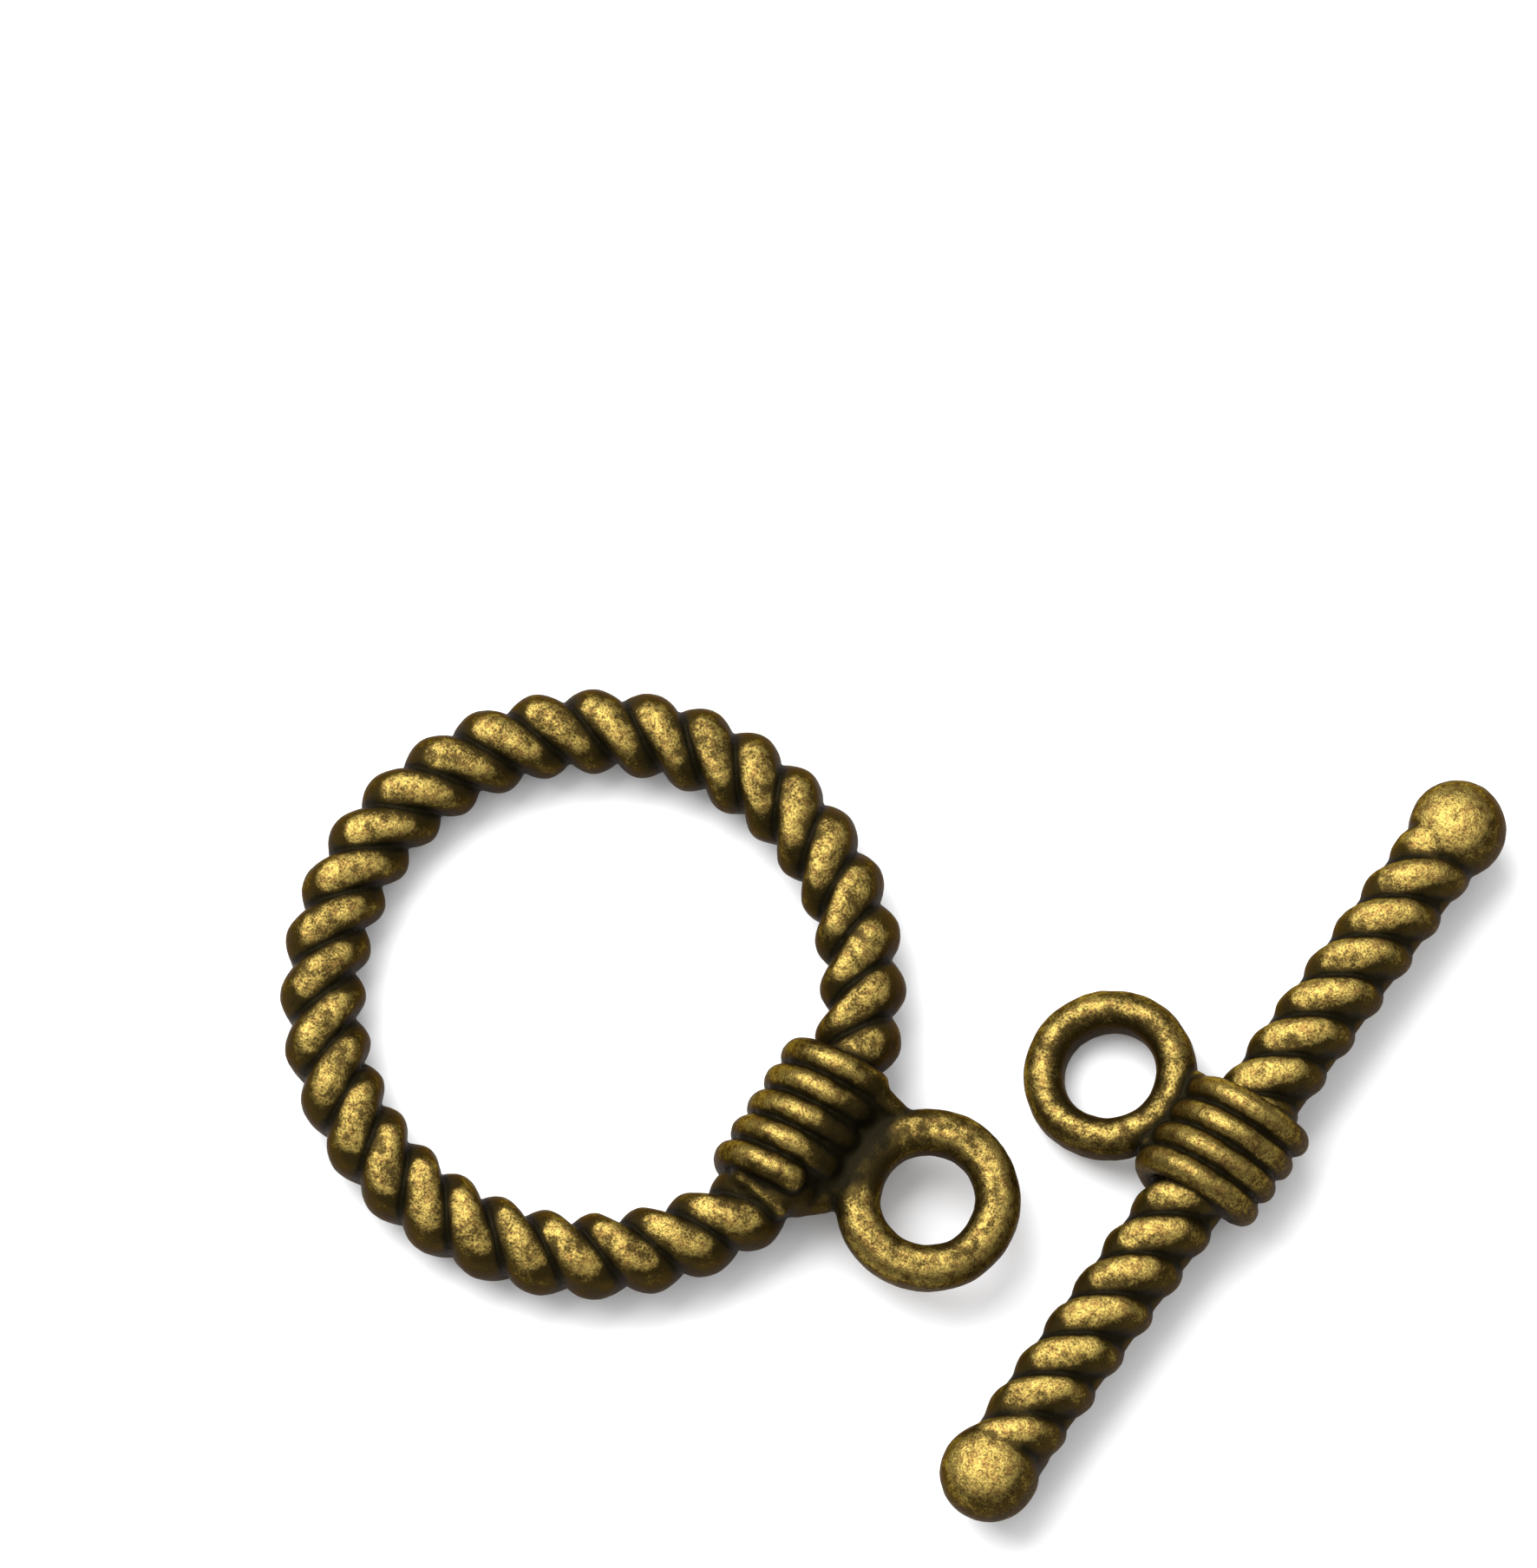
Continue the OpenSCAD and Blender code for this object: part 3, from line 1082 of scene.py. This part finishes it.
class CLASP_OT_bar_half(bpy.types.Operator):
    """Models the rope bar with its balls, collar of wire and loop, fused into one casting"""
    bl_idname = "clasp.bar_half"
    bl_label = "Bar Half"

    def execute(self, context):
        settings = context.scene.toggle_clasp
        bar = bench(settings.bar)
        rope = rope_of(settings, bar)
        loops = bench(settings.loops)
        finish = bench(settings.finish)
        reach = bar.collar / 2
        loop_y = reach - bar.loop_sink + bar.loop / 2
        coil = wire_turns("bar_coil", reach, bar.wire, *BAR_COIL, bar.collar_shift)
        ends = [
            wire_end("bar_wire_end", reach, bar.wire, turn, bar.collar_shift) for turn in BAR_COIL
        ]
        collar_x = bar.collar_shift + bar.wire / 2
        body = core("bar_core", reach - bar.wire * 0.5, bar.wire * 3.4, collar_x)
        band = loop_band("bar_loop", bar.loop, loops)
        move(band, (0, loop_y, 0))
        half_web = loops.web_thickness / 2
        band_middle = loop_y - (bar.loop + loops.hole) / 4
        web = web_block(
            "bar_web", (-bar.web / 2, 0, -half_web), (bar.web / 2, band_middle, half_web),
        )
        ball_x = (bar.overall - bar.ball) / 2
        pieces = [rope_rod(rope, bar), seam_fill(bar, rope), coil, body, band, web, *ends]
        for side in (-1, 1):
            pieces.append(flattened(ball("bar_ball", (side * ball_x, 0, 0), bar.ball), rope))
        name, start, end, *radii = BAR_SHOULDER
        shoulder = strut(name, from_x(start, -ball_x), from_x(end, -ball_x), *radii)
        pieces.append(flattened(shoulder, rope))
        junctions = (
            ((0.1 - ball_x, -2, -2), (2.0 - ball_x, 2, 2), 30),
            ((ball_x - 1.5, -2, -2), (ball_x - 0.1, 2, 2), 24),
            ((-1.6, reach - 0.75, -2), (1.6, reach + 0.55, 2), 12),
        )
        # Painted highlights on the tops of the balls, the loop and the collar: centre, radius and
        # amount
        light_spots = [((side * ball_x, 0, 0.3), bar.ball * 0.55, 0.02) for side in (-1, 1)]
        light_spots.append(((0, loop_y, 0.4), bar.loop * 0.5, 0.02))
        light_spots.append(((collar_x, 0, 1.5), 1.5, 0.035))
        casting = cast(pieces, "bar_casting", finish, rope, junctions, light_spots)
        placed(casting, bar_place(loop_y))
        bronze = antique_bronze(
            "antique bronze, bar", unevenness=0.26, patina_reach=0.03, finish=finish,
        )
        dress(casting, bronze, "toggle_bar")
        return {"FINISHED"}


class CLASP_OT_stage(bpy.types.Operator):
    """Lays the floor, and sets up the room, the soft light and the camera"""
    bl_idname = "clasp.stage"
    bl_label = "Stage"

    def execute(self, context):
        stage = context.scene.toggle_clasp.stage
        self.lay_floor(stage)
        self.light_room(context, stage)
        self.place_camera(context, stage)
        return {"FINISHED"}

    def lay_floor(self, stage):
        """A plain pale floor at zero height, just under the clasp."""
        in_object_mode()
        bpy.ops.object.select_all(action="DESELECT")
        bpy.ops.mesh.primitive_plane_add(size=3)
        floor = new_piece("floor")
        material = bpy.data.materials.new("pale floor")
        material.use_nodes = True
        shader = material.node_tree.nodes["Principled BSDF"]
        shader.inputs["Base Color"].default_value = (*stage.floor, 1)
        shader.inputs["Roughness"].default_value = 0.7
        shader.inputs["Specular IOR Level"].default_value = 0.2
        floor.data.materials.append(material)

    def light_room(self, context, stage):
        """An even room, a softbox at the camera's upper left and a larger one overhead."""
        world = bpy.data.worlds.new("room")
        world.use_nodes = True
        background = world.node_tree.nodes["Background"]
        background.inputs["Color"].default_value = (stage.air, stage.air, stage.air, 1)
        context.scene.world = world
        heading = stage.azimuth
        aside = Vector((math.cos(heading), math.sin(heading), 0))
        ahead = Vector((-math.sin(heading), math.cos(heading), 0))
        target = Vector(LIT_POINT)
        for name, left, beyond, height, size, power in LAMPS:
            place = target - aside * left + ahead * beyond + Vector((0, 0, height))
            bpy.ops.object.light_add(type="AREA", location=place)
            lamp = context.active_object
            lamp.name = name
            lamp.data.name = name
            lamp.data.shape = "SQUARE"
            lamp.data.size = size
            lamp.data.energy = power
            lamp.rotation_euler = (target - place).to_track_quat("-Z", "Y").to_euler()
        context.scene.view_settings.view_transform = "Standard"

    def place_camera(self, context, stage):
        """The camera, placed so that the ring's centre falls where the picture has it."""
        azimuth = stage.azimuth
        elevation = stage.elevation
        back = Vector((
            math.sin(azimuth) * math.cos(elevation),
            -math.cos(azimuth) * math.cos(elevation),
            math.sin(elevation),
        ))
        right = Vector((math.cos(azimuth), math.sin(azimuth), 0))
        up = back.cross(right)
        pixel = MM / stage.pixels_per_mm
        place, _ = ring_place()
        centre = place.to_translation()
        aim = centre + right * (IMAGE_WIDTH / 2 - stage.ring_across) * pixel
        aim += up * (stage.ring_down - IMAGE_HEIGHT / 2) * pixel
        distance = IMAGE_HEIGHT * pixel / SENSOR * stage.lens
        bpy.ops.object.camera_add(location=aim + back * distance)
        camera = context.active_object
        camera.name = "camera"
        camera.rotation_euler = (-back).to_track_quat("-Z", "Y").to_euler()
        camera.data.lens = stage.lens * BENCH
        camera.data.sensor_width = SENSOR * BENCH
        camera.data.clip_start = 0.01
        camera.data.clip_end = 10
        context.scene.camera = camera


class CLASP_PT_pieces(bpy.types.Panel):
    """Lists the clasp's pieces and their settings"""
    bl_idname = "CLASP_PT_pieces"
    bl_label = "Toggle Clasp"
    bl_space_type = "VIEW_3D"
    bl_region_type = "UI"
    bl_category = "Toggle Clasp"

    def draw(self, context):
        settings = context.scene.toggle_clasp
        for title, names, operator in (
            ("Ring half", ("rope", "loops", "ring", "finish"), "clasp.ring_half"),
            ("Bar half", ("bar",), "clasp.bar_half"),
            ("Stage", ("stage",), "clasp.stage"),
        ):
            box = self.layout.box()
            box.label(text=title)
            for name in names:
                group = getattr(settings, name)
                for key in group.__annotations__:
                    box.prop(group, key)
            box.operator(operator)


CLASSES = (
    RopeSizes, LoopSizes, RingSizes, BarSizes, CastingFinish, StageSettings, ToggleClasp,
    CLASP_OT_ring_half, CLASP_OT_bar_half, CLASP_OT_stage, CLASP_PT_pieces,
)


def register():
    """Adds the classes, and the clasp's settings to each scene."""
    for kind in CLASSES:
        bpy.utils.register_class(kind)
    bpy.types.Scene.toggle_clasp = PointerProperty(type=ToggleClasp)


def unregister():
    """Takes the settings and the classes away again."""
    del bpy.types.Scene.toggle_clasp
    for kind in reversed(CLASSES):
        bpy.utils.unregister_class(kind)


def main():
    """Models both halves and the stage."""
    register()
    bpy.ops.clasp.ring_half()
    bpy.ops.clasp.bar_half()
    bpy.ops.clasp.stage()


if __name__ == "__main__":
    main()
